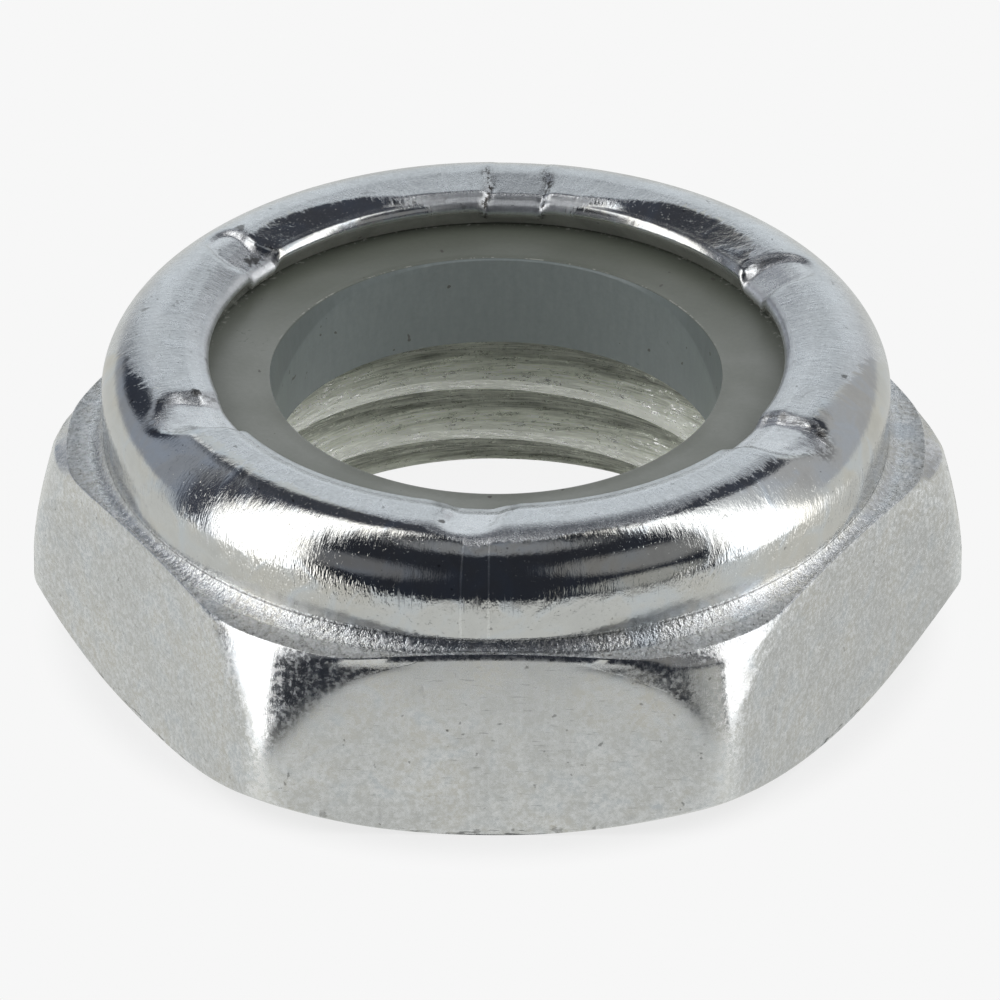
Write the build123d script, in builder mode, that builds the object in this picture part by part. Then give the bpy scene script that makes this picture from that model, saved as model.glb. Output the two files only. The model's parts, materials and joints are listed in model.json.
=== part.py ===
from build123d import *
import os
from math import cos, radians, tan

os.makedirs("parts", exist_ok=True)

# A low nylon insert lock nut, M12 x 1.25, for a 17 mm spanner. All sizes are in millimetres.
# The origin is the centre of the bearing face and +Z runs up the thread to the crimped collar.
# Two flats face -Y and +Y, and two corners point along -X and +X.

# Driving sizes
across_flats = 17.0
overall_height = 6.75
hexagon_height = 4.3  # from the bearing face to the rim on top of the corners
thread_major_d = 12.0
thread_depth = 0.6  # from the major diameter in to the crests; the helix itself is not cut

# Underside and mouth of the thread
bearing_margin = 0.05  # the bearing face ends this far inside the flats
bearing_chamfer = 34  # slope of the chamfer under the corners, degrees
mouth_margin = 0.3  # the countersink's rim stands this far outside the major diameter
mouth_angle = 120  # included angle of the countersink
seat_chamfer = 0.25  # lead-out where the thread opens under the insert

# Corners of the hexagon
corner_r = 0.25  # rounding of the six upright edges
blank_margin = 0.3  # the turned blank stands this far outside the corners before the flats are cut
corner_lean_height = 2.4  # the corners lean in over this height below their rim
corner_bulge = 0.33  # how far the leaning corner stands out of a straight cone
rim_margin = 0.53  # the crisp rim on the corners stands this far outside the flats
ledge_rise = 0.32  # climb of the narrow ledge from that rim to the foot of the collar

# Crimped collar
collar_inset = 0.2  # the collar's side stands this far inside the flats
collar_wall = 0.98
collar_draft = 0.1  # the collar is this much slimmer, per side, at its foot
collar_land = 0.35  # upright band between the drafted foot and the crown
foot_fillet_r = 0.4
crown_r = 1.1  # rolled outer edge of the collar
lip_reach = 1.35  # the rolled lip covers the insert by this much
lip_thickness = 0.58
lip_fall = 0.15  # the lip's inner edge lies this far below the crown
lip_edge_r = 0.18

# Six crimp notches pressed into the lip
notch_count = 6
notch_start = -93.0  # direction of the first notch, degrees from +X
notch_tool_r = 0.75
notch_depth = 0.3  # at the lip's inner edge
notch_tilt = 13  # the groove runs out as it climbs away from the lip, degrees
notch_length = 3.2

# Nylon insert
insert_seat_z = 3.88  # floor of the groove under the insert
insert_gap = 0.02  # assembly clearance between the insert and its groove, all round
insert_grip = 0.725  # the insert's bore stands this far inside the thread's crests
insert_shoulder = 0.55  # bevel that the crimp forms round the top of the insert
insert_edge = 0.12  # broken edges of the insert

# Worked out from the sizes above, as radii and heights
flat_r = across_flats / 2
corner_point_r = flat_r / cos(radians(30))
bearing_r = flat_r - bearing_margin
blank_r = corner_point_r + blank_margin
underside_rise = (blank_r - bearing_r) * tan(radians(bearing_chamfer))

major_r = thread_major_d / 2
crest_r = major_r - thread_depth
mouth_r = major_r + mouth_margin
mouth_depth = (mouth_r - crest_r) / tan(radians(mouth_angle / 2))

rim = Vector(flat_r + rim_margin, hexagon_height)
lean_foot = Vector(corner_point_r, hexagon_height - corner_lean_height)
lean_run = rim - lean_foot
lean_out = Vector(lean_run.Y, -lean_run.X).normalized()
lean_middle = (lean_foot + rim) * 0.5 + lean_out * corner_bulge

collar_r = flat_r - collar_inset
collar_foot = Vector(collar_r - collar_draft, hexagon_height + ledge_rise)
crown_centre = Vector(collar_r - crown_r, overall_height - crown_r)
groove_r = collar_r - collar_wall
insert_r = groove_r - insert_gap
lip_r = insert_r - lip_reach
lip_top_z = overall_height - lip_fall
groove_top_z = lip_top_z - lip_thickness

insert_bore_r = crest_r - insert_grip
insert_bottom_z = insert_seat_z + insert_gap
insert_top_z = groove_top_z - insert_gap

with BuildPart() as nut_body:
    # Everything turned: one closed section, spun about the thread's axis
    with BuildSketch(Plane.XZ) as section:
        with BuildLine():
            Polyline(
                (mouth_r, 0),
                (bearing_r, 0),
                (blank_r, underside_rise),
                (blank_r, lean_foot.Y),
                lean_foot,
            )
            ThreePointArc(lean_foot, lean_middle, rim)
            Polyline(
                rim,
                collar_foot,
                (collar_r, crown_centre.Y - collar_land),
                (collar_r, crown_centre.Y),
            )
            CenterArc(crown_centre, crown_r, 0, 90)
            Line((crown_centre.X, overall_height), (lip_r + lip_edge_r, lip_top_z))
            RadiusArc((lip_r + lip_edge_r, lip_top_z), (lip_r, lip_top_z - lip_edge_r), -lip_edge_r)
            Polyline(
                (lip_r, lip_top_z - lip_edge_r),
                (lip_r, groove_top_z),
                (groove_r - insert_shoulder, groove_top_z),
                (groove_r, groove_top_z - insert_shoulder),
                (groove_r, insert_seat_z),
                (crest_r + seat_chamfer, insert_seat_z),
                (crest_r, insert_seat_z - seat_chamfer),
                (crest_r, mouth_depth),
                (mouth_r, 0),
            )
        make_face()
        fillet(section.vertices().sort_by_distance(collar_foot)[0], radius=foot_fillet_r)
    revolve(axis=Axis.Z)

    # The six flats trim the turned blank
    with BuildSketch(Plane.XY):
        RegularPolygon(radius=flat_r, side_count=6, major_radius=False, rotation=0)
        fillet(vertices(), radius=corner_r)
    extrude(amount=overall_height, mode=Mode.INTERSECT)

    # Crimp notches: round-bottomed grooves that run out as they climb away from the lip
    with PolarLocations(lip_r, notch_count, start_angle=notch_start):
        with Locations((0, 0, lip_top_z - notch_depth + notch_tool_r)):
            Cylinder(
                radius=notch_tool_r,
                height=notch_length,
                rotation=(0, 90 - notch_tilt, 0),
                mode=Mode.SUBTRACT,
            )
nut_body.part.label = "nut_body"

with BuildPart() as nylon_insert:
    # A moulded ring; the crimp bevels its outer top edge
    with BuildSketch(Plane.XZ):
        with BuildLine():
            Polyline(
                (insert_bore_r + insert_edge, insert_bottom_z),
                (insert_r - insert_edge, insert_bottom_z),
                (insert_r, insert_bottom_z + insert_edge),
                (insert_r, insert_top_z - insert_shoulder),
                (insert_r - insert_shoulder, insert_top_z),
                (insert_bore_r + insert_edge, insert_top_z),
                (insert_bore_r, insert_top_z - insert_edge),
                (insert_bore_r, insert_bottom_z + insert_edge),
                close=True,
            )
        make_face()
    revolve(axis=Axis.Z)
nylon_insert.part.label = "nylon_insert"

export_step(nut_body.part, "parts/nut_body.step")
export_step(nylon_insert.part, "parts/nylon_insert.step")
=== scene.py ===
import json
import math

import bmesh
import bpy
import numpy as np
from bpy.props import FloatProperty, FloatVectorProperty, PointerProperty
from mathutils import Matrix, Vector


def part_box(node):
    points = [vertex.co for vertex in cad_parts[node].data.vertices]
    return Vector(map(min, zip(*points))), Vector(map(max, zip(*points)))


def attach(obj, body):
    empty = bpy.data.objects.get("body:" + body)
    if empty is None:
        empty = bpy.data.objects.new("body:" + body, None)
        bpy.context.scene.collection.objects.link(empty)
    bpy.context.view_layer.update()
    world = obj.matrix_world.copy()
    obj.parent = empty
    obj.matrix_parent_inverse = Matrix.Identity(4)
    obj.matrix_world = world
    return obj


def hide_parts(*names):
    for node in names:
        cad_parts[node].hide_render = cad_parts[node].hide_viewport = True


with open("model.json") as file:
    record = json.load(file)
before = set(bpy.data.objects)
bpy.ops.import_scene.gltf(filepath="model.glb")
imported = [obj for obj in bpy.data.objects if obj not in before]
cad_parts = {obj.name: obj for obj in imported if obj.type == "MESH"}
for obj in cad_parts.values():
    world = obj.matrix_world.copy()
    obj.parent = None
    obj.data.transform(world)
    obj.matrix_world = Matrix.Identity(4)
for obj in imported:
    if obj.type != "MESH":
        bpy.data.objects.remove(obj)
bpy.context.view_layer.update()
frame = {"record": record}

bl_info = {
    "name": "Nylon insert lock nut",
    "version": (1, 0, 0),
    "blender": (4, 5, 0),
    "location": "3D View > Sidebar > Lock nut",
    "description": "Zinc plated hexagon with a crimped collar, its nylon ring and a plain studio",
    "category": "Object",
}

MM = 0.001
FULL_TURN = 2 * math.pi
SIXTH = math.radians(60)

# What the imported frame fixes, in millimetres
STEEL_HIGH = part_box("nut_body")[1] / MM
NYLON_LOW, NYLON_HIGH = (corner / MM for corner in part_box("nylon_insert"))
BORES = {
    mount["name"]: mount["dims"]["r_mm"]
    for mount in frame["record"]["mounts"]
    if "r_mm" in mount["dims"]
}


# ---------------- sizes and colours


def length(name, description, default, low=0.0):
    """A size in millimetres that a user may change."""
    return FloatProperty(name=name, description=description, default=default, min=low, precision=3)


def tone(name, description, default):
    """A linear colour that a user may change."""
    return FloatVectorProperty(
        name=name, description=description, default=default, subtype="COLOR", size=3, min=0.0, max=1.0
    )


def angle(name, description, degrees):
    """An angle that a user may change."""
    turn = math.radians(degrees)
    return FloatProperty(
        name=name, description=description, default=turn, subtype="ANGLE", unit="ROTATION"
    )


class LOCKNUT_steel_sizes(bpy.types.PropertyGroup):
    """Sizes of the steel nut, in millimetres."""

    half_flats: length("Half flats", "Axis to a flat of the hexagon", STEEL_HIGH.y)
    height: length("Height", "Bearing face to the top of the crown", STEEL_HIGH.z)
    lean_start: length("Lean start", "Height at which the corners begin to lean in", 1.6)
    rim_height: length("Rim height", "Height of the ledge's rim at the corners", 4.3)
    rim_radius: length("Rim radius", "Radius of the ledge's rim at the corners", 9.03)
    collar_radius: length("Collar radius", "Widest radius of the collar", 8.3)
    crown_start: length("Crown start", "Height at which the collar turns over", 5.65)
    crown_radius: length("Crown radius", "Radius of the highest circle of the crown", 7.05)
    lip_radius: length("Lip radius", "Radius of the opening in the lip", 6.0)
    lip_oval: length("Lip oval", "How much wider the opening is across than along", 0.05)
    lip_height: length("Lip height", "Height of the lip before its rounded edge", 6.63)
    pitch: length("Pitch", "Rise of the thread in one turn", 1.25, 0.2)
    crest_radius: length("Crest radius", "Radius of the thread's crests", BORES["thread"])
    root_radius: length("Root radius", "Radius of the thread's roots", 6.0)
    mouth_radius: length("Mouth radius", "Radius of the countersink at the bearing face", 6.3)
    notch_depth: length("Notch depth", "Depth of a notch at the opening", 0.17)


class LOCKNUT_nylon_sizes(bpy.types.PropertyGroup):
    """Sizes of the nylon ring, in millimetres."""

    bore_radius: length("Bore radius", "Radius of the ring's bore", BORES["insert_bore"])
    outer_radius: length("Outer radius", "Radius of the ring in its groove", NYLON_HIGH.x)
    low: length("Underside", "Height of the ring's underside", NYLON_LOW.z)
    high: length("Top", "Height of the ring's top", NYLON_HIGH.z)


class LOCKNUT_finishes(bpy.types.PropertyGroup):
    """Colours of the two finishes."""

    zinc: tone("Zinc", "Bright zinc plate", (0.70, 0.71, 0.70))
    zinc_warm: tone("Warm film", "Yellowish passivation film", (0.72, 0.70, 0.64))
    zinc_cool: tone("Cool film", "Bluish passivation film", (0.63, 0.68, 0.73))
    # Soot also gives the painted shade in the grooves beside the notches and the painted shade marks on
    # the lip
    soot: tone("Soot", "Burnt zinc in the creases and pits", (0.06, 0.055, 0.05))
    frosted: tone("Frosted", "Plate roughened by the crimping die", (0.83, 0.85, 0.865))
    burnished: tone("Burnished", "Plate pressed bright by the crimp", (0.93, 0.94, 0.95))
    thread: tone("Thread", "Cut steel under thin plate", (0.86, 0.88, 0.80))
    nylon: tone("Nylon", "Smooth grey nylon", (0.185, 0.195, 0.18))
    # The bore's lighter, bluish colour is a painted sheen
    nylon_bore: tone("Nylon bore", "Wiped nylon in the bore", (0.205, 0.235, 0.235))
    nylon_pale: tone("Nylon burr", "Nylon stretched white", (0.55, 0.56, 0.52))
    stain: tone("Stain", "Dried oil against the lip", (0.30, 0.22, 0.08))
    # This colour gives the ring's random mottle and its painted shade towards the back and the brim
    nylon_deep: tone("Nylon shade", "Nylon where it is scuffed and oily", (0.095, 0.105, 0.085))


class LOCKNUT_studio_settings(bpy.types.PropertyGroup):
    """The plain studio."""

    backdrop: FloatProperty(
        name="Backdrop", description="Paleness of the floor and backdrop", default=0.93, min=0, max=1
    )
    level: FloatProperty(
        name="Level", description="Strength of the soft light all round", default=0.9, min=0
    )
    elevation: angle("Elevation", "Height of the camera above the horizon", 32.6)
    turn: angle("Turn", "How far the camera stands round the nut", 0.33)
    distance: length("Distance", "Camera to the middle of the bearing face", 340.0)
    focal: length("Focal length", "Lens of the camera, in millimetres", 577.0, 20.0)


# ---------------- mesh tools


def smooth(low, high, value):
    """0 below low, 1 above high, with an eased rise between."""
    share = np.clip((np.asarray(value, dtype=float) - low) / (high - low), 0, 1)
    return share * share * (3 - 2 * share)


def round_table(angles, table):
    """A value that changes round the nut, from pairs of direction in degrees and value."""
    bearings, values = zip(*table)
    return np.interp(np.degrees(angles) % 360, bearings, values, period=360)


def angle_list(base, centres, reach, extra):
    """Angles of one turn, evenly spaced, with extra ones round each centre."""
    angles = list(np.arange(base) * FULL_TURN / base)
    for centre in centres:
        angles += list(centre + np.linspace(-reach, reach, extra))
    angles = np.unique(np.round(np.mod(angles, FULL_TURN), 5))
    apart = np.diff(angles, append=angles[0] + FULL_TURN)
    return angles[apart > 0.2 * FULL_TURN / (base + 4 * extra * len(centres))]


def off_axis(angles, centre):
    """Signed angle from the centre, within half a turn."""
    return (np.asarray(angles) - centre + math.pi) % FULL_TURN - math.pi


def new_object(name, data):
    """An object that stands in the scene."""
    made = bpy.data.objects.new(name, data)
    bpy.context.scene.collection.objects.link(made)
    return made


class Skin:
    """Collects rings of points, the faces between them and a mask or two for each point."""

    def __init__(self, mask_names):
        self.points = []
        self.faces = []
        self.masks = {name: [] for name in mask_names}
        self.count = 0

    def ring(self, angles, radius, height, **masks):
        """Adds a ring round the axis, in millimetres, and returns the numbers of its points."""
        size = len(angles)
        numbers = np.arange(self.count, self.count + size)
        places = np.broadcast_arrays(radius * np.cos(angles), radius * np.sin(angles), height)
        self.points.append(np.stack(places, axis=-1))
        self.count += size
        for name, values in self.masks.items():
            values.append(np.broadcast_to(masks.get(name, 0.0), size))
        return numbers

    def band(self, lower, upper):
        """Quads between two rings of the same angles."""
        following = np.roll(np.arange(len(lower)), -1)
        self.faces += list(zip(lower, lower[following], upper[following], upper))

    def stack(self, rings):
        """Bands between each ring and the next."""
        for lower, upper in zip(rings, rings[1:]):
            self.band(lower, upper)

    def seam(self, lower, lower_angles, upper, upper_angles):
        """Triangles between two rings of different angles."""
        low_angles = np.append(lower_angles, lower_angles[0] + FULL_TURN)
        high_angles = np.append(upper_angles, upper_angles[0] + FULL_TURN)
        lower, upper = np.append(lower, lower[0]), np.append(upper, upper[0])
        low, high = 0, 0
        low_end, high_end = len(lower) - 1, len(upper) - 1
        while low < low_end or high < high_end:
            if high == high_end or (low < low_end and low_angles[low + 1] <= high_angles[high + 1]):
                self.faces.append((lower[low], lower[low + 1], upper[high]))
                low += 1
            else:
                self.faces.append((lower[low], upper[high + 1], upper[high]))
                high += 1

    def build(self, name, crease_angle):
        """Makes the object, in metres, closed and smooth shaded up to the crease angle."""
        mesh = bpy.data.meshes.new(name)
        points = np.concatenate(self.points) * MM
        mesh.from_pydata(points.tolist(), [], [tuple(int(n) for n in face) for face in self.faces])
        for mask, values in self.masks.items():
            layer = mesh.attributes.new(mask, "FLOAT", "POINT")
            layer.data.foreach_set("value", np.concatenate(values).astype(np.float32))
        work = bmesh.new()
        work.from_mesh(mesh)
        bmesh.ops.remove_doubles(work, verts=work.verts, dist=1e-7)
        bmesh.ops.dissolve_degenerate(work, dist=1e-8, edges=work.edges)
        bmesh.ops.recalc_face_normals(work, faces=work.faces)
        open_edges = sum(1 for edge in work.edges if len(edge.link_faces) != 2)
        if open_edges:
            raise RuntimeError(f"{name} is not closed: {open_edges} open edges")
        work.to_mesh(mesh)
        work.free()
        mesh.shade_smooth()
        mesh.set_sharp_from_angle(angle=crease_angle)
        return new_object(name, mesh)


# ---------------- steel nut

# The corners, from the one on +X: radius of the rounding at the rim and at the bottom, how late
# it begins to grow, and how far the corner stands proud
CORNERS = (
    (3.2, 0.25, 1.6, 0.08), (3.2, 0.25, 1.6, 0.0), (3.2, 0.25, 1.6, 0.0),
    (3.3, 0.25, 1.6, 0.0), (4.4, 0.90, 1.15, 0.0), (3.4, 0.70, 1.35, 0.03),
)
CORNER_DIP = 0.10
FLAT_HALF_WIDTH = 0.577  # at the bottom, as a share of the distance from the axis
FLAT_NARROWING = 0.40  # how much of it the leaning corners take at the rim
FLAT_INSET = 0.03  # of the bearing face and of the rim, from a flat
CHAMFER_RISE = 0.90
CHAMFER_BULGE = 1.35
RIM_RISE = 0.30
RIM_BLEND = 0.10  # how softly the rim passes from the flats to the round blank
RIM_ROUNDING = 0.2
LEDGE_FALL = 0.16
FILLET_WIDTH = 0.36
FOOT_HEIGHT = 4.70
FOOT_LEAN = 0.035
WALL_BULGE = 1.6
CORNER_SHEEN = 0.34  # half width of the painted highlight strip along a corner
CREASE_SHADE_SHARE = 0.88  # a painted dark line, the shade of a fine crease, runs this far up the fillet
# Radius at which the lip begins to fall, by direction
LIP_BENDS = (
    (30, 6.9), (47, 6.95), (58, 6.85), (66, 6.5), (74, 6.3), (100, 6.3), (109, 6.35), (116, 6.65),
    (124, 6.8), (134, 6.93), (142, 6.85), (160, 6.6), (200, 6.5), (340, 6.5),
)
# The frosted band on the lip ends at these radii, by direction
FROST_EDGES = (
    (5, 8.5), (174, 8.5), (179, 7.85), (185, 7.75), (193, 7.4), (205, 7.1), (217, 6.92), (235, 7.02),
    (246, 7.15), (258, 7.3), (264, 7.6), (275, 7.6), (285, 7.47), (297, 7.5), (310, 7.3), (325, 7.4),
    (341, 7.2), (358, 7.75),
)
# Inside these radii the lip is bright again, by direction
BRIGHT_EDGES = (
    (20, 5.6), (33, 6.3), (38, 6.9), (47, 6.95), (58, 6.85), (66, 6.45), (73, 6.1), (80, 5.6),
    (100, 5.6), (106, 6.1), (109, 6.25), (116, 6.65), (124, 6.8), (134, 6.93), (140, 6.9), (146, 5.6),
)
LIP_LEVEL_FALL = 0.03
LIP_EDGE = 0.20  # rounding of the opening
LIP_WAVE = 0.012  # how far the opening strays from its oval
LIP_UNDERCUT = 0.17
GROOVE_GAP = 0.02
CREST_WIDTH = 0.23
CREST_AT_BACK = 2.415  # height of a crest's middle at the back of the nut
# Radii and height of the groove's inner rings, out along its roof and back along its seat
ROOF_RADII = (6.4, 6.9)
SEAT_RADII = (6.9, 6.3)
GROOVE_MIDDLE = 5.0

# Crimp notches: direction in degrees, turn of the tool, depth as a share of the first one's, how
# far out it runs, how wide it is, how wide its sloping sides are, in millimetres, and how much
# of the groove beside it carries on round its end; with 0 the notch is open there
NOTCHES = (
    (26.8, 0.10, 1.0, 7.45, 1.00, 0.14, 0.3),
    (86.5, 0.00, 0.50, 8.10, 1.26, 0.10, 0.0),
    (145.6, -0.12, 1.0, 7.45, 0.95, 0.14, 0.3),
    (204.0, -0.12, 1.1, 7.50, 1.35, 0.24, 0.7),
    (266.4, -0.02, 0.8, 7.50, 1.45, 0.40, 0.2),
    (328.6, 0.16, 1.1, 7.62, 1.35, 0.22, 1.0),
)
NOTCH_GROOVE = 0.06  # extra depth along the sides of a notch
NOTCH_GROOVE_WIDTH = 0.11
NOTCH_WAVE = 0.06
NOTCH_RISE = 0.45  # share of its depth that a notch loses towards its end
OPEN_GROOVE = 1.5  # how much deeper the grooves of an open notch are
OPEN_GROOVE_END = (-1.0, -0.65)  # they fade out this far before its end
# What the steel's points carry: how far inside a flat, the frosted band or a notch they lie, in
# millimetres, and whether they belong to a zone
STEEL_MASKS = (
    "flat", "frost", "notch", "groove", "side", "ledge", "fillet", "seam", "wall", "lip", "edge",
    "thread", "corner",
)


def corner_offset(angles):
    """Angle from the nearest corner of the hexagon, unsigned."""
    return np.abs((angles + SIXTH / 2) % SIXTH - SIXTH / 2)


def rounded_hexagon(away, half_flats, corner_radius):
    """Radius of a hexagon with rounded corners, by the angle from a corner."""
    from_flat = SIXTH / 2 - away
    sharp = half_flats / np.cos(from_flat)
    centre = (half_flats - corner_radius) / math.cos(SIXTH / 2)
    inside = np.clip(corner_radius**2 - (centre * np.sin(away)) ** 2, 0, None)
    arc = centre * np.cos(away) + np.sqrt(inside)
    tangent = np.arctan((half_flats - corner_radius) * math.tan(SIXTH / 2) / half_flats)
    return np.where(from_flat > tangent, np.minimum(arc, sharp), sharp)


def climb_of(height, sizes):
    """Share of the way from where the corners begin to lean to the rim."""
    return np.clip((height - sizes.lean_start) / (sizes.rim_height - sizes.lean_start), 0, 1)


def soft_shoulder(angles):
    """Where a forged shoulder blends softly into its flat: left of the corner at 240 degrees."""
    return (angles > math.radians(205)) & (angles < math.radians(240))


def corner_size(angles, climb):
    """Radius of the rounding of the nearest corner, and how far that corner stands proud."""
    nearest = np.round(angles / SIXTH).astype(int) % 6
    widest, base, power, excess = np.array(CORNERS)[nearest].T
    return base + (widest - base) * climb**power, excess


def flat_border(climb):
    """Half width, as an angle, of the part of a flat that stays plane."""
    return np.arctan(FLAT_HALF_WIDTH - FLAT_NARROWING * climb**2.9)


def hexagon_radius(angles, height, sizes):
    """Radius of the hexagon's side, with its corners leaning in towards the top."""
    away = corner_offset(angles)
    climb = climb_of(height, sizes)
    corner_radius, excess = corner_size(angles, climb)
    width = SIXTH / 2 - flat_border(climb) + 1e-4
    share = np.clip(1 - away / width, 0, 1)
    sharpness = np.where(soft_shoulder(angles), 1.8, 0.7)
    dip = CORNER_DIP * climb**1.5 * share**sharpness * (1 - share) ** 0.9
    rounded = rounded_hexagon(away, sizes.half_flats, corner_radius)
    return rounded - dip + excess * np.clip(1 - away / 0.25, 0, 1) ** 2


def steel_hexagon(skin, angles, sizes):
    """Bearing face, chamfer, six flats with leaning corners, rim, ledge and fillet."""
    from_flat = SIXTH / 2 - corner_offset(angles)
    bearing = sizes.half_flats - FLAT_INSET
    rings = []

    def add(radius, height, **masks):
        rings.append(skin.ring(angles, radius, height, **masks))

    for radius in np.linspace(sizes.mouth_radius + 0.06, bearing - 0.06, 7):
        add(radius, 0.0)
    # Chamfer under the corners, steeper further out
    side = hexagon_radius(angles, 0.5, sizes)
    sharp = sizes.half_flats / math.cos(SIXTH / 2)
    power = 1.17 - 0.17 * np.tanh(1.5 * np.cos(angles))
    rise = CHAMFER_RISE * np.clip((side - bearing) / (sharp - bearing), 0, None) ** power
    for share in (0.0, 0.1, 0.3, 0.5, 0.7, 0.86, 0.95):
        add(bearing + (side - bearing) * share, 0.006 + rise * share**CHAMFER_BULGE)
    # Sides, from the chamfer's edge to the rim
    straight = bearing / np.cos(from_flat)
    rim = np.exp(-straight / RIM_BLEND) + math.exp(-sizes.rim_radius / RIM_BLEND)
    rim = -RIM_BLEND * np.log(rim)
    rim_height = sizes.rim_height + (sizes.rim_radius - rim) * RIM_RISE
    top = rim_height - 0.03
    for share in np.concatenate([[0.0, 0.012, 0.03, 0.06], np.linspace(0.1, 1.0, 30)]):
        height = rise + 0.02 + (top - rise - 0.02) * share
        climb = climb_of(height, sizes)
        radius = hexagon_radius(angles, height, sizes) - 0.01 * (1 - smooth(0, 0.03, share))
        over = np.clip(1 - (top - height) / RIM_ROUNDING, 0, 1)
        radius = radius + (rim + 0.03 - radius) * over**2.2
        flat = (flat_border(climb) - from_flat) * radius
        flat = np.where(soft_shoulder(angles), flat * 0.15 - 0.01, flat)
        corner = np.exp(-((corner_offset(angles) * radius / CORNER_SHEEN) ** 2))
        add(radius, height, flat=flat, side=1.0, corner=corner)
    add(rim + 0.015, rim_height - 0.008)
    # Ledge, then the fillet at the collar's foot
    foot = sizes.collar_radius - FOOT_LEAN
    inner = np.minimum(foot + FILLET_WIDTH, rim - 0.04)
    for share in (0.0, 0.04, 0.12, 0.25, 0.45, 0.65, 0.85, 1.0):
        radius = rim + (inner - rim) * share
        add(radius, rim_height + (rim - radius) * LEDGE_FALL, ledge=1.0)
    inner_height = rim_height + (rim - inner) * LEDGE_FALL
    for share in np.linspace(0.1, 1.0, 16):
        turn = share * math.pi / 2
        radius = inner + (foot - inner) * math.sin(turn)
        height = inner_height + (FOOT_HEIGHT - inner_height) * (1 - math.cos(turn))
        add(radius, height, fillet=1.0, seam=float(abs(share - CREASE_SHADE_SHARE) < 0.01))
    skin.stack(rings)
    return rings[0], rings[-1]


def press_notches(angles, radius, height, sizes):
    """Heights after the crimping tool has struck, and masks of the pads and of their grooves."""
    pads = np.full(angles.shape, -1.0)
    grooves = np.zeros(angles.shape)
    for at, turn, depth, reach, width, slope, closed in NOTCHES:
        across = off_axis(angles, math.radians(at)) * radius - turn * (radius - sizes.lip_radius)
        half = width / 2
        if closed:
            # The tool's end is round
            beyond = np.clip(radius - (reach - half), 0, None)
            fade = 1 - NOTCH_RISE * smooth(sizes.lip_radius + 0.25, reach, radius)
            strength = 1 - (1 - closed) * smooth(-0.3, 0.3, beyond)
        else:
            # The notch climbs until it runs out into the lip
            beyond = 0.0
            fade = np.clip((reach - radius) / (reach - sizes.lip_radius - 0.1), 0, 1)
            strength = OPEN_GROOVE * (1 - smooth(*(reach + end for end in OPEN_GROOVE_END), radius))
        # Distance from the tool's outline, inside negative
        outline = np.hypot(across, beyond * 0.8) - half
        outline = outline + NOTCH_WAVE * np.sin(3.1 * across + 5 * radius + at)
        pad = 1 - smooth(-slope, 0.06, outline)
        groove = np.exp(-((outline / NOTCH_GROOVE_WIDTH) ** 2)) * strength
        height = height - depth * fade * (sizes.notch_depth * pad + NOTCH_GROOVE * groove)
        if closed:
            pads = np.maximum(pads, -outline)
        grooves = np.maximum(grooves, groove)
    return height, pads, grooves


def steel_collar(skin, angles, sizes):
    """Collar wall, crown, lip with its notches, and the groove that holds the ring."""
    rings = []

    def add(radius, height, zone="", notched=False):
        pads, grooves = -1.0, 0.0
        if notched:
            height, pads, grooves = press_notches(angles, radius, height, sizes)
        outer = round_table(angles, FROST_EDGES) - radius
        inner = radius - round_table(angles, BRIGHT_EDGES)
        masks = {"notch": pads, "groove": grooves, "frost": np.minimum(outer, inner)}
        if zone:
            masks[zone] = 1.0
        rings.append(skin.ring(angles, radius, height, **masks))

    foot = sizes.collar_radius - FOOT_LEAN
    low = FOOT_HEIGHT + 0.01
    for share in np.linspace(0.0, 1.0, 10):
        radius = foot + (sizes.collar_radius - foot) * (1 - (1 - share) ** WALL_BULGE)
        add(radius, low + (sizes.crown_start - low) * share, "wall")
    # Crown, a quarter of an ellipse
    wide = sizes.collar_radius - sizes.crown_radius
    tall = sizes.height - sizes.crown_start
    for turn in np.linspace(0, math.pi / 2, 26)[1:]:
        radius = sizes.crown_radius + wide * math.cos(turn)
        height = sizes.crown_start + tall * math.sin(turn)
        add(radius, height, "wall" if turn < 1.2 else "lip", notched=turn > 0.6)
    # Lip: level, then falling inwards
    opening = sizes.lip_radius + sizes.lip_oval * np.cos(2 * angles) + LIP_WAVE * np.sin(5 * angles + 1)
    inner = opening + LIP_EDGE
    bend = round_table(angles, LIP_BENDS)
    for share in np.linspace(0, 1, 25)[1:]:
        radius = sizes.crown_radius + (inner - sizes.crown_radius) * share
        fallen = np.clip((bend - radius) / (bend - inner), 0, 1) ** 1.25
        level = sizes.height - LIP_LEVEL_FALL * share
        add(radius, level - (level - sizes.lip_height) * fallen, "lip", notched=True)
    # Its rounded edge, and the sheared face that leans back under it
    for turn in np.linspace(math.radians(20), math.pi / 2, 8):
        radius = inner - LIP_EDGE * math.sin(turn)
        add(radius, sizes.lip_height - LIP_EDGE * (1 - math.cos(turn)), "lip", notched=True)
    edge = sizes.lip_height - LIP_EDGE
    for share in np.linspace(0, 1, 7)[1:]:
        radius = opening + LIP_UNDERCUT * share
        add(radius, edge + (NYLON_HIGH.z + 0.03 - edge) * share, "edge", notched=share < 0.5)
    # Groove
    groove = NYLON_HIGH.x + GROOVE_GAP
    for radius in (*ROOF_RADII, groove):
        add(radius, NYLON_HIGH.z + GROOVE_GAP)
    for height in (GROOVE_MIDDLE, NYLON_LOW.z - GROOVE_GAP):
        add(groove, height)
    for radius in SEAT_RADII:
        add(radius, NYLON_LOW.z - GROOVE_GAP)
    skin.stack(rings)
    return rings[0], rings[-1]


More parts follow.
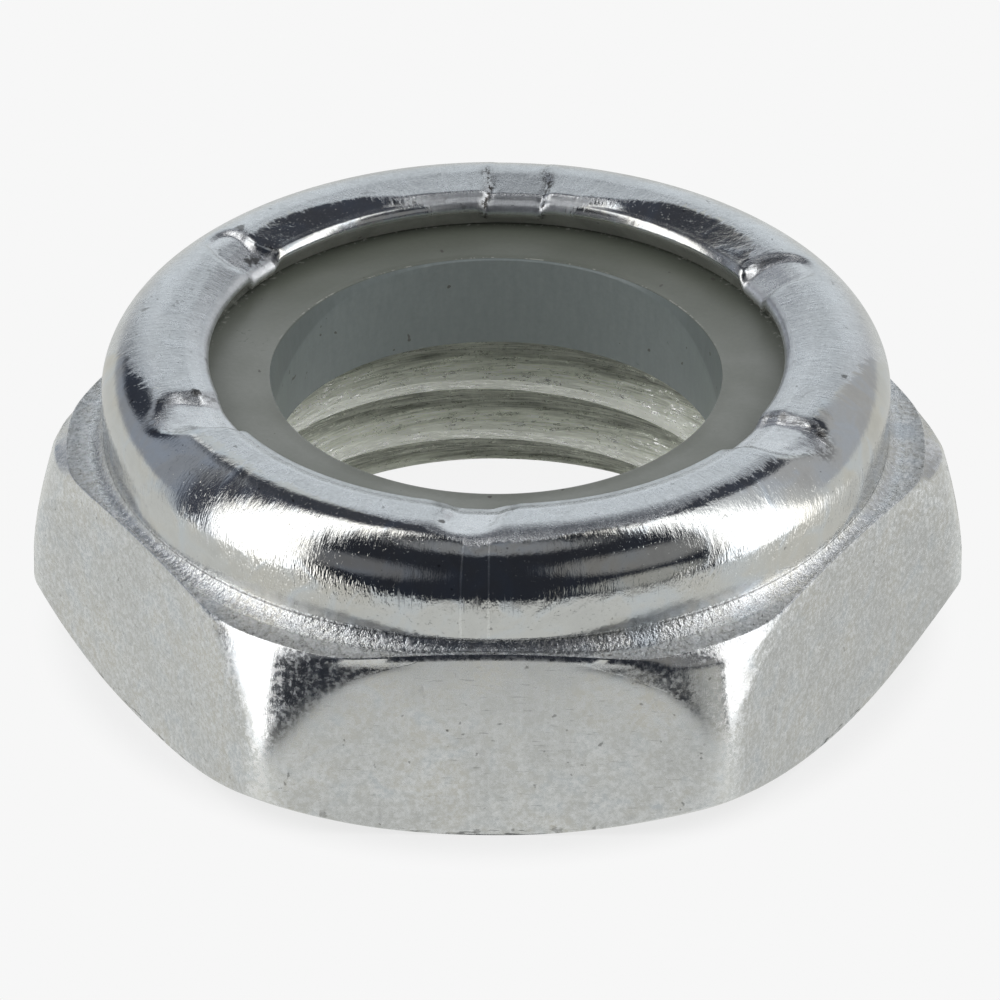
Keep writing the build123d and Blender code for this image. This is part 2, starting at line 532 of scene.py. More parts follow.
def steel_thread(skin, angles, sizes):
    """Right-handed thread between the groove's seat and the countersunk mouth."""
    top = NYLON_LOW.z - GROOVE_GAP
    start = CREST_AT_BACK - sizes.pitch / 4
    # Half a crest and one flank of the sixty degree thread, as shares of its pitch
    crest = CREST_WIDTH / sizes.pitch / 2
    depth = sizes.root_radius - sizes.crest_radius
    flank = depth * math.tan(SIXTH / 2) / sizes.pitch
    steps = [-crest, -crest * 0.6, 0.0, crest * 0.6]
    steps += list(crest + flank * np.linspace(0, 1, 8)[:-1])
    steps += list(np.linspace(crest + flank, 1 - crest - flank, 5))
    steps += list(1 - crest - flank * np.linspace(1, 0, 8)[1:-1])
    first = math.floor(-start / sizes.pitch) - 2
    last = math.ceil((top - start) / sizes.pitch) + 1
    rows = []
    for turn in range(first, last):
        for step in steps:
            height = start + sizes.pitch * (turn + step + angles / FULL_TURN)
            height = np.clip(height, 0.0, top)
            phase = (height - start) / sizes.pitch - angles / FULL_TURN
            from_crest = np.abs((phase + 0.5) % 1.0 - 0.5)
            radius = sizes.crest_radius + depth * np.clip((from_crest - crest) / flank, 0, 1)
            mouth = sizes.mouth_radius - height * math.tan(SIXTH)
            rows.append(skin.ring(angles, np.maximum(radius, mouth), height, thread=1.0))
    for number in range(len(rows) - 1):
        lower, upper = rows[number], rows[number + 1]
        skin.faces += list(zip(lower[1:], lower[:-1], upper[:-1], upper[1:]))
        higher = number + len(steps)
        if higher + 1 < len(rows):
            skin.faces.append((rows[higher][0], lower[-1], upper[-1], rows[higher + 1][0]))
    return rows[0], rows[-1]


def make_steel_nut(sizes):
    """The whole steel nut as one closed mesh."""
    skin = Skin(STEEL_MASKS)
    corners = [SIXTH * corner for corner in range(6)]
    hexagon_angles = angle_list(240, corners, 0.12, 17)
    notch_angles = angle_list(420, [math.radians(notch[0]) for notch in NOTCHES], 0.14, 31)
    thread_angles = np.arange(300) * FULL_TURN / 300
    mouth_ring, crease_ring = steel_hexagon(skin, hexagon_angles, sizes)
    foot_ring, seat_ring = steel_collar(skin, notch_angles, sizes)
    thread_low, thread_high = steel_thread(skin, thread_angles, sizes)
    skin.seam(crease_ring, hexagon_angles, foot_ring, notch_angles)
    skin.seam(seat_ring, notch_angles, thread_high, thread_angles)
    skin.seam(thread_low, thread_angles, mouth_ring, hexagon_angles)
    return skin.build("nut_steel", math.radians(38))


# ---------------- nylon ring


NYLON_SHOULDER = 0.55  # the crimp's bevel round the top, hidden under the lip
NYLON_CORNER = 0.12
FACET_WIDTH = 0.05  # the bore is pressed wider at the left and right of its top edge
FACET_HEIGHT = 1.1
BORE_BEVEL = 0.035


def make_nylon_ring(sizes):
    """The nylon ring: a moulded ring whose bore has a bevelled edge with a fine burr."""
    skin = Skin(("bore", "burr", "brim", "facet"))
    angles = np.arange(360) * FULL_TURN / 360
    inner, outer, low, high = sizes.bore_radius, sizes.outer_radius, sizes.low, sizes.high
    rings = []

    def add(radius, height, **masks):
        rings.append(skin.ring(angles, radius, height, **masks))

    pressed = np.abs(np.cos(angles + 0.12 * np.sin(angles))) ** 5
    wide = BORE_BEVEL + FACET_WIDTH * pressed * (1 + 0.12 * np.sin(9 * angles))
    tall = BORE_BEVEL + FACET_HEIGHT * pressed
    for share in np.linspace(0, 1, 12):
        add(inner, low + 0.04 + (high - tall - low - 0.04) * share, bore=1.0)
    for share in (0.25, 0.5, 0.75, 0.94):
        add(inner + wide * share, high - tall * (1 - share), bore=1.0, facet=pressed)
    for step, burr in ((0.0, 0.6), (0.02, 1.0), (0.05, 0.3)):
        add(inner + wide + step, high + 0.008 * burr, burr=burr)
    brim = outer - NYLON_SHOULDER
    for share in np.linspace(0.06, 1, 18):
        start = inner + wide + 0.05
        crowned = 0.02 * np.sin(math.pi * share)
        add(start + (brim - start) * share, high - 0.02 + crowned, brim=share)
    add(brim + NYLON_SHOULDER / 2, high)
    add(outer - NYLON_CORNER, high)
    add(outer, high - NYLON_CORNER)
    add(outer, (low + high) / 2)
    add(outer, low + NYLON_CORNER)
    add(outer - NYLON_CORNER, low)
    for radius in np.linspace(outer - NYLON_SHOULDER, inner + 0.05, 6):
        add(radius, low)
    skin.stack(rings + rings[:1])
    return skin.build("nylon_ring", math.radians(32))


# ---------------- shader tools


def operator_pair(operation):
    """An operator on wires and its reflected form."""

    def forward(self, other):
        return self.math(operation, self, other)

    def reflected(self, other):
        return self.math(operation, other, self)

    return forward, reflected


class Wire:
    """A shader socket that takes part in Python expressions; each one adds its Math node."""

    def __init__(self, graph, socket):
        self.graph = graph
        self.socket = socket

    def math(self, operation, first, second=None, clamp=False):
        values = {0: first} if second is None else {0: first, 1: second}
        return self.graph.node("ShaderNodeMath", {"operation": operation, "use_clamp": clamp}, values)

    __add__, __radd__ = operator_pair("ADD")
    __sub__, __rsub__ = operator_pair("SUBTRACT")
    __mul__, __rmul__ = operator_pair("MULTIPLY")
    __truediv__, __rtruediv__ = operator_pair("DIVIDE")

    def __abs__(self):
        return self.math("ABSOLUTE", self)

    def most(self, other):
        return self.math("MAXIMUM", self, other)

    def least(self, other):
        return self.math("MINIMUM", self, other)

    def clamp(self):
        return self.math("ADD", self, 0.0, clamp=True)

    def root(self):
        return self.math("SQRT", self)


class Graph:
    """The node tree of a material or of the world."""

    def __init__(self, owner):
        owner.use_nodes = True
        self.tree = owner.node_tree
        self.tree.nodes.clear()
        self.column = 0

    def node(self, kind, settings=None, sockets=None, out=0):
        """Adds a node, sets it up, feeds its sockets and returns one of its outputs."""
        made = self.tree.nodes.new(kind)
        made.location = (220 * (self.column // 12), -180 * (self.column % 12))
        self.column += 1
        for name, value in (settings or {}).items():
            setattr(made, name, value)
        for name, value in (sockets or {}).items():
            self.feed(made.inputs[name], value)
        return Wire(self, made.outputs[out]) if len(made.outputs) else made

    def feed(self, socket, value):
        """Links a wire to a socket or sets the socket's own value."""
        if isinstance(value, Wire):
            self.tree.links.new(value.socket, socket)
        elif hasattr(value, "__len__") and len(value) == 3 and socket.type == "RGBA":
            socket.default_value = (*value, 1.0)
        else:
            socket.default_value = value

    def mask(self, name):
        """A mask that the mesh carries."""
        settings = {"attribute_type": "GEOMETRY", "attribute_name": name}
        return self.node("ShaderNodeAttribute", settings, out="Fac")

    def ease(self, value, low, high):
        """0 below low, 1 above high, eased between; high may be the lower of the two."""
        settings = {"interpolation_type": "SMOOTHSTEP"}
        return self.node("ShaderNodeMapRange", settings, {"Value": value, 1: low, 2: high})

    def blend(self, share, first, second):
        """A colour between two colours."""
        sockets = {0: share, 6: first, 7: second}
        return self.node("ShaderNodeMix", {"data_type": "RGBA"}, sockets, out=2)

    def layer(self, share, first, second):
        """One shader over another."""
        return self.node("ShaderNodeMixShader", {}, {0: share, 1: first, 2: second})

    def shade(self, colour, factor):
        """A colour made darker or lighter by a value."""
        grey = self.node("ShaderNodeCombineColor", {}, {0: factor, 1: factor, 2: factor})
        settings = {"data_type": "RGBA", "blend_type": "MULTIPLY"}
        return self.node("ShaderNodeMix", settings, {0: 1.0, 6: colour, 7: grey}, out=2)

    def point(self, x, y, z):
        return self.node("ShaderNodeCombineXYZ", {}, {0: x, 1: y, 2: z})

    def noise(self, where, scale, detail=3.0, rough=0.55, twist=0.0):
        """Fractal noise about 0.5."""
        values = {"Vector": where, "Scale": scale, "Detail": detail, "Roughness": rough}
        values["Distortion"] = twist
        return self.node("ShaderNodeTexNoise", {}, values)

    def streaks(self, across, times, along, detail, rough):
        """Noise squeezed so many times in the two directions across it, and its own way along."""
        where = self.point(across[0] * times, across[1] * times, along)
        return self.noise(where, 1.0, detail, rough)

    def spots(self, where, table, ragged):
        """Round marks with ragged borders, from rows of place, radius and strength."""
        found = 0.0
        for x, y, z, radius, strength in table:
            sockets = {0: where, 1: (x, y, z)}
            away = self.node("ShaderNodeVectorMath", {"operation": "DISTANCE"}, sockets, out="Value")
            mark = self.ease(away + (ragged - 0.5) * radius * 2.0, radius, radius * 0.5) * strength
            found = mark.most(found)
        return found

    def place(self):
        """The piece's own coordinates and radius in millimetres, and the direction from its axis."""
        spot = self.node("ShaderNodeTexCoord", {}, {}, out="Object")
        sockets = {"Vector": spot, "Scale": 1 / MM}
        spot = self.node("ShaderNodeVectorMath", {"operation": "SCALE"}, sockets)
        x, y, z = self.parts(spot)
        out = (x * x + y * y).root()
        return spot, x, y, z, out, (x / out, y / out)

    def parts(self, where):
        """The three numbers of a vector."""
        split = self.node("ShaderNodeSeparateXYZ", {}, {0: where}).socket.node
        return (Wire(self, split.outputs[axis]) for axis in range(3))

    def rays(self, *names):
        """What kind of ray asks, by the names of the Light Path node's outputs."""
        path = self.node("ShaderNodeLightPath").socket.node
        return (Wire(self, path.outputs[name]) for name in names)

    def finish(self, sockets, bump, reach):
        """The surface itself, with its bump."""
        normal = self.node("ShaderNodeBump", {}, {"Height": bump, "Distance": reach})
        surface = self.node("ShaderNodeBsdfPrincipled", {}, {**sockets, "Normal": normal})
        self.node("ShaderNodeOutputMaterial", {}, {"Surface": surface})


# ---------------- materials

# Single marks on the plate: place and radius in millimetres, and strength. The dark marks on the lip
# are painted shade, most of them in and beside the notches; those low on the front flat are specks
LIP_SHADE_AND_SPECKS = (
    (-6.26, -1.90, 6.70, 0.13, 0.8), (-5.18, 3.74, 6.55, 0.24, 0.85), (-5.45, 4.70, 6.70, 0.15, 0.7),
    (5.39, 2.95, 6.60, 0.15, 0.9), (7.30, -1.15, 6.72, 0.08, 0.7), (-7.44, 1.48, 6.70, 0.12, 0.4),
    (-1.08, -6.90, 6.70, 0.10, 0.8), (6.78, -3.30, 6.60, 0.13, 0.8), (6.02, -2.67, 6.60, 0.14, 0.7),
    (-0.95, -8.50, 2.60, 0.035, 0.7), (-3.54, -8.50, 0.50, 0.10, 0.3), (1.33, -8.50, 0.14, 0.12, 0.4),
    (-0.35, -8.50, 0.10, 0.10, 0.4), (0.40, -8.50, 0.14, 0.05, 0.4), (2.10, -8.50, 0.20, 0.05, 0.4),
)
BLUE_SPOTS = (
    (3.07, -7.70, 4.62, 0.50, 0.8), (-8.95, -2.60, 4.30, 0.55, 0.6), (8.60, 0.40, 4.40, 0.5, 0.5),
)
OIL_STAIN = (5.35, 2.50, 6.30, 0.16, 0.8)
DRAW_LINES = (265.3, 269.3)  # deep draw marks down the collar, by direction
COLLAR_MIDDLE = 8.3  # radius at which their width holds
# Where a look begins and where it is whole, in millimetres from the axis: painted highlight on the
# thread's crests, painted shade in its roots, the rougher opening of the lip and painted dark
# reflection towards the ledge's rim
CREST_HIGHLIGHT = (5.62, 5.46)
ROOT_SHADE = (5.75, 5.98)
OPENING = (6.28, 6.2)
LEDGE_SHADE = (8.6, 8.95)
# The same, in millimetres above the bearing face
BOTTOM_EDGE = (0.22, 0.08)
COLLAR_FOOT = (5.35, 5.0)
DRAWN_LOW = (4.9, 5.3)
DRAWN_HIGH = (6.1, 5.6)
TALL_LOW = (5.2, 5.5)


def draw_lines(net, y, way, grit):
    """Deep draw marks down the front of the collar."""
    lines = 0.0
    for at in DRAW_LINES:
        sine, cosine = math.sin(math.radians(at)), math.cos(math.radians(at))
        across = abs(way[0] * sine - way[1] * cosine) * COLLAR_MIDDLE
        line = net.ease(across + (grit - 0.5) * 0.06, 0.035, 0.005) * net.ease(y, -6.0, -6.6)
        lines = line.most(lines)
    return lines * net.mask("wall")


def zinc_finish(tones):
    """Bright zinc plate: mottled flats, drawn collar, frosted lip, grainy ledge and cut thread."""
    material = bpy.data.materials.new("zinc_plate")
    net = Graph(material)
    spot, x, y, z, out, way = net.place()
    clouds = net.noise(spot, 0.5, 4.0, 0.6, 0.4)
    mottle = net.noise(spot, 1.3, 2.5, 0.45, 0.9)
    grit = net.noise(spot, 9.0, 3.0, 0.7)
    fine = net.noise(spot, 24.0, 3.0, 0.7)
    # Draw marks up the collar, then strokes and strands across the lip
    drawn = net.streaks(way, 150.0, z * 4.5, 2.0, 0.6)
    tall = net.streaks(way, 160.0, z * 0.9, 1.0, 0.5)
    lines = draw_lines(net, y, way, grit)
    strokes = net.streaks(way, 110.0, out * 2.2, 3.0, 0.7)
    strands = net.streaks(way, 38.0, out * 1.2, 2.0, 0.6)
    # Turning marks along the thread, and where it tore
    rolled = net.streaks(way, 5.0, z * 26.0, 3.0, 0.7)
    torn = net.ease(net.streaks(way, 14.0, z * 16.0, 3.0, 0.8), 0.5, 0.64)
    # Fine scratches across the flats, closest along the bottom edge, and their upright grain
    low = net.ease(z, *BOTTOM_EDGE)
    scratched = net.ease(net.streaks((x, y), 2.2, z * 22.0, 2.0, 0.6) + low * 0.1, 0.66, 0.72)
    upright = net.streaks((x, y), 9.0, z * 0.8, 3.0, 0.6)
    # Zones, with broken borders
    side, ledge, fillet, wall = (net.mask(name) for name in ("side", "ledge", "fillet", "wall"))
    lip, thread, edge = (net.mask(name) for name in ("lip", "thread", "edge"))
    flat = net.ease(net.mask("flat") + (mottle - 0.5) * 0.5, -0.03, 0.03) * side
    turned = (side - flat).clamp()
    ragged = 0.25 + 0.75 * net.ease(y, -6.6, -5.0)
    frost = net.mask("frost") + ((strokes - 0.5) * 0.6 + (strands - 0.5) * 0.5) * ragged
    frost = net.ease(frost, -0.04, 0.05) * (lip + wall).clamp()
    pad = net.ease(net.mask("notch") + (grit - 0.5) * 0.25, -0.04, 0.06)
    frost = frost.most(pad)
    band = net.ease(z, *DRAWN_LOW) * net.ease(z, *DRAWN_HIGH) * wall
    # How light or dark the plate is, place by place
    value = 1.0 + (mottle - 0.5) * (0.3 - side * 0.1)
    value += (grit - 0.5) * (0.1 - flat * 0.09 + frost * 0.35 + ledge * 0.8)
    value += (fine - 0.5) * (0.06 - flat * 0.05 + frost * 0.3 + ledge * 0.9 + fillet)
    # The frosted band is painted darker towards the back, a painted shade; the sheared face under the
    # lip is painted darker, shade under the overhang, over its cut steel tone
    value += frost * ((strokes - 0.5) * 0.2 - net.ease(y, 5.5, 7.5) * 0.12) - edge * 0.6
    # The ledge is painted darker towards its rim, a painted dark reflection
    value += ledge * (0.03 - net.ease(out, *LEDGE_SHADE) * 0.25) + lines * 0.35
    # On the thread the crests are painted lighter, a painted highlight, brighter still in torn patches
    # at the left and right where the side lights fall; the roots are painted darker, a painted shade
    value += thread * ((rolled - 0.5) * 1.9 + net.ease(out, *CREST_HIGHLIGHT) * (torn * 0.5 + 0.3) + 0.1)
    value += thread * (torn * net.ease(abs(x), 2.2, 4.6) * 0.8 - net.ease(out, *ROOT_SHADE) * 0.45)
    value += flat * ((upright - 0.5) * 0.03 + (clouds - 0.5) * 0.2 - 0.08)
    # Scratches darken the sides; the sides are also painted darker towards the right, a painted shade
    value -= side * (scratched * (0.22 + low * 0.35) + net.ease(x, 2.0, 6.5) * 0.08)
    # Painted highlight along the corners, and a painted dark line along the fillet, the shade of a fine
    # crease
    value += net.mask("corner") * 0.3 - net.mask("seam") * 0.6
    # Films of the passivation, then the frosted, pressed and cut places
    colour = net.blend(net.ease(clouds, 0.42, 0.66) * 0.7, tones["zinc"], tones["zinc_warm"])
    colour = net.blend(net.ease(mottle, 0.46, 0.72) * 0.7, colour, tones["zinc_cool"])
    colour = net.blend(frost * 0.9, colour, tones["frosted"])
    colour = net.blend(pad * 0.7, colour, tones["burnished"])
    colour = net.blend(thread.most(edge), colour, tones["thread"])
    colour = net.shade(colour, value.most(0.03))
    colour = net.blend(net.spots(spot, BLUE_SPOTS, clouds), colour, tones["zinc_cool"])
    # Soot in pits and in scuffs of the frosted band, and painted shade in the grooves beside the
    # notches
    pits = net.ease(net.noise(spot, 5.0, 2.0, 0.5), 0.72, 0.77) * (1.0 - thread)
    groove_shade = net.mask("groove") * net.ease(grit + (strokes - 0.5) * 0.6, 0.42, 0.6)
    scuffs = net.noise(net.point(x * 1.5, y * 0.9, z), 1.6, 3.0, 0.7, 0.6)
    scuffs = net.ease(scuffs, 0.63, 0.72) * frost * 0.35
    colour = net.blend((pits * 0.5).most(groove_shade * 0.7).most(scuffs), colour, tones["soot"])
    # Dark marks: painted shade on the lip, most of it in and beside the notches, and specks low on the
    # front flat
    colour = net.blend(net.spots(spot, LIP_SHADE_AND_SPECKS, grit), colour, tones["soot"])
    # Bright on the collar, dull where the plate is frosted, grainy or cut
    rough = 0.08 + flat * 0.12 + frost * 0.18 + ledge * 0.2 + fillet * 0.06 + turned * 0.08
    rough += thread * (0.26 - torn * 0.2) + lip * net.ease(out, *OPENING) * 0.1
    rough += wall * net.ease(z, *COLLAR_FOOT) * 0.05 + lines * 0.15
    rough += band * net.ease(z, *TALL_LOW) * net.ease(tall, 0.58, 0.68) * 0.22
    rough += ((mottle - 0.5) * 0.08 + (grit - 0.5) * 0.12) * (1.0 - flat * 0.85)
    # Grain and marks; the draw marks are deepest where the collar starts to turn over
    bump = (mottle - 0.5) * 0.5 + (grit - 0.5) * (0.12 + ledge * 2.0 + fillet * 1.4)
    bump += (drawn - 0.5) * band * net.ease(clouds, 0.35, 0.6)
    bump += (0.12 * wall + frost * 0.3) * (strokes - 0.5) + thread * (rolled - 0.5) * 3.0
    bump += (fine - 0.5) * (0.05 + frost * 0.15 + ledge * 0.8) + turned * (upright - 0.5) * 0.1
    # Pimples, which sparkle where the plate mirrors the dark
    pimples = net.ease(net.noise(spot, 14.0, 2.0, 0.7), 0.62, 0.78)
    bump += pimples * (wall + lip).clamp() * 0.09
    sockets = {
        "Base Color": colour,
        "Metallic": 1.0 - thread * (0.8 - torn * 0.7) - edge * 0.6,
        "Roughness": rough.most(0.05).least(0.75),
    }
    net.finish(sockets, bump * (1.0 - flat * 0.9), 0.02 * MM)
    return material


def nylon_finish(tones):
    """Smooth grey nylon, faintly waxy, with a pale burr round the bore, light scuffs, a painted sheen
    in the bore and painted shade towards the back and the brim.
    """
    material = bpy.data.materials.new("grey_nylon")
    net = Graph(material)
    spot, _, y, z, out, way = net.place()
    clouds = net.noise(spot, 0.5, 3.0, 0.5, 0.2)
    fine = net.noise(spot, 9.0, 4.0, 0.6)
    upright = net.streaks(way, 30.0, z * 1.5, 3.0, 0.6)
    bore = net.mask("bore")
    colour = net.blend(net.ease(clouds, 0.35, 0.7) * 0.35, tones["nylon"], tones["nylon_deep"])
    # Painted shade towards the back of the ring, where the lip shades it, and out towards the brim
    shaded = net.ease(y, 0.0, 4.5) * 0.75 + net.ease(net.mask("brim"), 0.3, 0.7) * 0.25
    colour = net.blend(shaded.clamp(), colour, tones["nylon_deep"])
    # The bore gets a painted bluish sheen
    colour = net.blend(bore, colour, tones["nylon_bore"])
    colour = net.shade(colour, 1.0 + (fine - 0.5) * 0.25 + (upright - 0.5) * bore * 0.25)
    # Painted shade on the pressed facets beside the bore, then the burr on its edge and crumbs against
    # the lip
    colour = net.shade(colour, 1.0 - net.ease(net.mask("facet"), 0.1, 0.5) * 0.22)
    broken = net.streaks(way, 9.0, z * 3.0, 4.0, 0.8)
    burr = net.ease(net.mask("burr"), 0.3, 0.9) * net.ease(broken, 0.5, 0.6) * net.ease(y, 0.5, 3.0)
    crumbs = net.ease(out, 6.05, 6.12) * net.ease(fine, 0.56, 0.64)
    colour = net.blend(burr.most(crumbs) * 0.45, colour, tones["nylon_pale"])
    specks = net.ease(net.noise(spot, 4.5, 1.0, 0.4), 0.76, 0.78)
    colour = net.blend(specks * 0.8, colour, tones["soot"])
    stain = net.spots(spot, (OIL_STAIN,), fine)
    colour = net.blend(stain, colour, tones["stain"])
    rough = 0.34 + (clouds - 0.5) * 0.2 + (fine - 0.5) * 0.15
    bump = (clouds - 0.5) * 0.8 + (fine - 0.5) * 0.35 + burr * 1.2
    net.finish({"Base Color": colour, "Roughness": rough}, bump, 0.01 * MM)
    return material


# ---------------- studio

# Round lights and cards that the plate mirrors, later ones over earlier ones: name, bearing from
# the camera's side, elevation, radius and softness in degrees, and the light that each gives off
WHITE = (1.9, 1.9, 1.9)
RIG = (
    ("left_fill", -40.0, 22.0, 17.0, 8.0, (0.15, 0.155, 0.17)),
    ("right_fill", 44.0, 32.0, 20.0, 6.0, (0.22, 0.22, 0.22)),
    ("right_bounce", 42.0, -14.0, 15.0, 5.0, (0.37, 0.37, 0.35)),
    ("overhead", 0.0, 88.0, 13.0, 4.0, (0.23, 0.24, 0.26)),
    ("left_white", -127.6, -2.6, 74.4, 1.5, WHITE),
    ("left_gap", -146.1, -0.2, 62.0, 1.5, (0.055, 0.06, 0.08)),
    ("left_grey", -146.1, -0.2, 50.0, 3.0, (0.30, 0.32, 0.36)),
    ("left_dark", -145.0, 25.0, 12.5, 3.0, (0.035, 0.04, 0.055)),
    ("right_white", 131.3, 2.1, 67.1, 1.5, WHITE),
    ("right_rim", 140.5, 13.5, 48.6, 1.5, (0.60, 0.62, 0.64)),
    ("right_grey", 140.5, 13.5, 40.0, 4.0, (0.44, 0.45, 0.47)),
    ("right_dark", 161.0, 53.0, 12.0, 3.0, (0.05, 0.055, 0.07)),
    ("back_dark", 180.0, 53.0, 16.0, 3.0, (0.05, 0.055, 0.07)),
    ("back", 180.0, 14.0, 25.0, 3.0, (0.64, 0.68, 0.71)),
)
DARK_ROOM = (0.022, 0.025, 0.033)
TABLE_LIGHT = (0.635, 0.64, 0.62)
TABLE_EDGE = (16.3, 17.6)  # radii between which the mirrored table gives way to the room
# Shadow on the floor: radii where it fades in and out round the nut, and the shade in the bore
SHADOW_INSIDE = (6.6, 7.4)
SHADOW_OUTSIDE = (9.9, 8.7)
SHADOW_IN_BORE = (7.0, 6.2)
FLOOR_REACH = 0.6
AIM = (0.086, 0.0, 2.89)  # what the camera looks at, in millimetres
CAMERA_ROLL = 0.0017
# Soft lamps: name, bearing and elevation in degrees
LAMPS = (("lamp_left", -74.0, 40.0), ("lamp_right", 80.0, 40.0))
LAMP_AWAY = 0.5
LAMP_SIZE = 0.3
LAMP_POWER = 0.35


def bearing_vector(bearing, elevation):
    """Direction by its bearing from the camera's side and its elevation, in radians."""
    level = math.cos(elevation)
    return Vector((math.sin(bearing) * level, -math.cos(bearing) * level, math.sin(elevation)))


def studio_world(settings):
    """Even light for dull surfaces, the rig for glossy ones and the backdrop for the camera."""
    world = bpy.data.worlds.new("studio")
    bpy.context.scene.world = world
    net = Graph(world)
    way = net.node("ShaderNodeTexCoord", {}, {}, out="Generated")
    x, y, z = net.parts(way)
    room = DARK_ROOM
    for _, bearing, elevation, radius, soft, light in RIG:
        centre = bearing_vector(math.radians(bearing), math.radians(elevation))
        facing = x * centre.x + y * centre.y + z * centre.z
        edges = (math.cos(math.radians(radius + edge)) for edge in (soft, -soft))
        room = net.blend(net.ease(facing, *edges), room, light)
    # The table beyond the nut, seen by what looks down and back
    level = (x * x + y * y + 1e-6).root()
    behind = net.ease(y / level, 0.05, 0.35)
    room = net.blend(net.ease(z, 0.09, -0.05) * behind, room, TABLE_LIGHT)
    camera, glossy, through = net.rays("Is Camera Ray", "Is Glossy Ray", "Is Transmission Ray")
    front, back = ((settings.level * share,) * 3 for share in (0.45, 1.15))
    even = net.blend(net.ease(y, -0.7, 0.1), front, back)
    pale = (settings.backdrop,) * 3
    light = net.blend(glossy, even, room)
    light = net.blend(camera.most(through), light, pale)
    background = net.node("ShaderNodeBackground", {}, {"Color": light, "Strength": 1.0})
    net.node("ShaderNodeOutputWorld", {}, {"Surface": background})


def studio_floor(settings):
    """A plain pale floor with a soft shadow under the nut."""
    corners = ((-1, -1), (1, -1), (1, 1), (-1, 1))
    points = [Vector((x, y, 0)) * FLOOR_REACH for x, y in corners]
    mesh = bpy.data.meshes.new("floor")
    mesh.from_pydata(points, [], [(0, 1, 2, 3)])
    floor = new_object("floor", mesh)
    material = bpy.data.materials.new("pale_floor")
    net = Graph(material)
    out = net.place()[4]
    camera, glossy = net.rays("Is Camera Ray", "Is Glossy Ray")
    pale = (settings.backdrop,) * 3
    lit = net.node("ShaderNodeBsdfDiffuse", {}, {"Color": pale})
    glow = net.node("ShaderNodeEmission", {}, {"Color": pale, "Strength": 1.0})
    sheet = net.node("ShaderNodeEmission", {}, {"Color": TABLE_LIGHT, "Strength": 1.0})
    clear = net.node("ShaderNodeBsdfTransparent")
    under = net.ease(out, *SHADOW_INSIDE) * net.ease(out, *SHADOW_OUTSIDE)
    shade = 1.0 - 0.22 * under - 0.05 * net.ease(out, *SHADOW_IN_BORE)
    seen = net.layer(shade, lit, glow)
    beyond = net.layer(net.ease(out, *TABLE_EDGE), sheet, clear)
    surface = net.layer(glossy, net.layer(camera, lit, seen), beyond)
    net.node("ShaderNodeOutputMaterial", {}, {"Surface": surface})
    mesh.materials.append(material)


def soft_box(name, bearing, elevation):
    """A large soft lamp that looks at the nut."""
    lamp = bpy.data.lights.new(name, "AREA")
    lamp.shape = "SQUARE"
    lamp.size = LAMP_SIZE
    lamp.energy = LAMP_POWER
    box = new_object(name, lamp)
    back = bearing_vector(math.radians(bearing), math.radians(elevation))
    box.location = back * LAMP_AWAY
    box.rotation_euler = back.to_track_quat("Z", "Y").to_euler()
    box.visible_glossy = False


def studio_camera(settings):
    """The camera, a long lens looking down on the nut."""
    data = bpy.data.cameras.new("camera")
    data.lens = settings.focal
    data.sensor_width = 36.0
    data.clip_start = 0.01
    data.clip_end = 2.0
    camera = new_object("camera", data)
    back = bearing_vector(settings.turn, settings.elevation)
    camera.location = back * (settings.distance * MM)
    aim = Vector(AIM) * MM
    turned = (camera.location - aim).to_track_quat("Z", "Y").to_matrix().to_4x4()
    turned = turned @ Matrix.Rotation(CAMERA_ROLL, 4, "Z")
    camera.rotation_euler = turned.to_euler()
    bpy.context.scene.camera = camera


# ---------------- add-on


def own_names(group):
    """The names of what a property group holds."""
    return [name for name in group.bl_rna.properties.keys() if name not in ("rna_type", "name")]


def tones_of(group):
    """The colours of a property group, by name."""
    return {name: tuple(getattr(group, name)) for name in own_names(group)}


class LOCKNUT_OT_steel(bpy.types.Operator):
    """Make the steel nut: hexagon, crimped collar and thread"""

    bl_idname = "locknut.steel"
    bl_label = "Steel nut"

    def execute(self, context):
        piece = make_steel_nut(context.scene.locknut_steel)
        piece.data.materials.append(zinc_finish(tones_of(context.scene.locknut_finishes)))
        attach(piece, "root")
        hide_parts("nut_body")
        return {"FINISHED"}


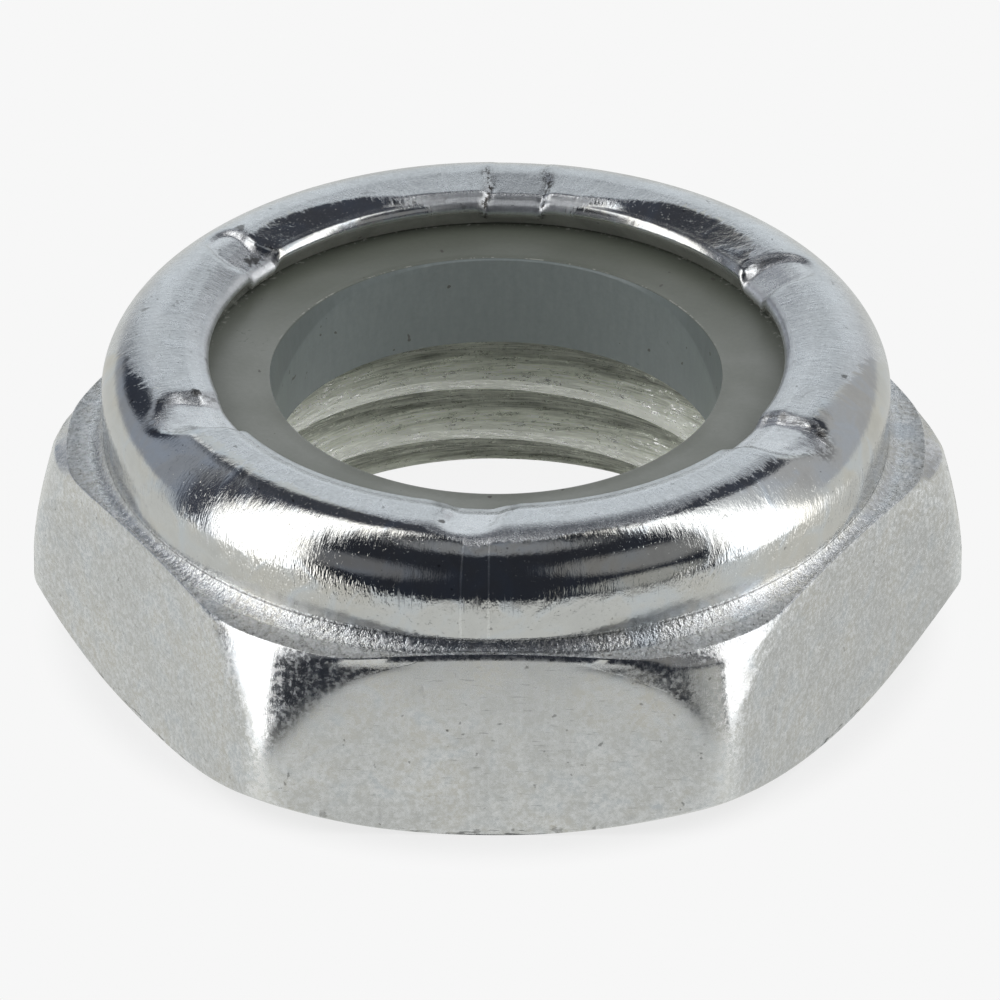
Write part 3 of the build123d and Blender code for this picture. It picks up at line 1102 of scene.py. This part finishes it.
class LOCKNUT_OT_nylon(bpy.types.Operator):
    """Make the nylon ring that sits under the lip"""

    bl_idname = "locknut.nylon"
    bl_label = "Nylon ring"

    def execute(self, context):
        piece = make_nylon_ring(context.scene.locknut_nylon)
        piece.data.materials.append(nylon_finish(tones_of(context.scene.locknut_finishes)))
        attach(piece, "root")
        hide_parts("nylon_insert")
        return {"FINISHED"}


class LOCKNUT_OT_studio(bpy.types.Operator):
    """Set up the floor, the soft light and the camera"""

    bl_idname = "locknut.studio"
    bl_label = "Studio"

    def execute(self, context):
        settings = context.scene.locknut_studio
        context.scene.view_settings.view_transform = "Standard"
        studio_world(settings)
        studio_floor(settings)
        for lamp in LAMPS:
            soft_box(*lamp)
        studio_camera(settings)
        return {"FINISHED"}


class LOCKNUT_PT_panel(bpy.types.Panel):
    """Sidebar panel that lists the pieces and the studio"""

    bl_label = "Nylon insert lock nut"
    bl_idname = "LOCKNUT_PT_panel"
    bl_space_type = "VIEW_3D"
    bl_region_type = "UI"
    bl_category = "Lock nut"

    def draw(self, context):
        for group, (_, operator) in GROUPS.items():
            box = self.layout.box()
            if operator:
                box.operator(operator)
            settings = getattr(context.scene, group)
            for name in own_names(settings):
                box.prop(settings, name)


# Each group of settings and the operator it is for; the finishes serve both pieces
GROUPS = {
    "locknut_finishes": (LOCKNUT_finishes, ""),
    "locknut_steel": (LOCKNUT_steel_sizes, "locknut.steel"),
    "locknut_nylon": (LOCKNUT_nylon_sizes, "locknut.nylon"),
    "locknut_studio": (LOCKNUT_studio_settings, "locknut.studio"),
}
TOOLS = (LOCKNUT_OT_steel, LOCKNUT_OT_nylon, LOCKNUT_OT_studio, LOCKNUT_PT_panel)


def register():
    for name, (group, _) in GROUPS.items():
        bpy.utils.register_class(group)
        setattr(bpy.types.Scene, name, PointerProperty(type=group))
    for tool in TOOLS:
        bpy.utils.register_class(tool)


def unregister():
    for tool in reversed(TOOLS):
        bpy.utils.unregister_class(tool)
    for name, (group, _) in GROUPS.items():
        delattr(bpy.types.Scene, name)
        bpy.utils.unregister_class(group)


def main():
    """Makes the nut and its studio."""
    register()
    bpy.ops.locknut.steel()
    bpy.ops.locknut.nylon()
    bpy.ops.locknut.studio()


if __name__ == "__main__":
    main()
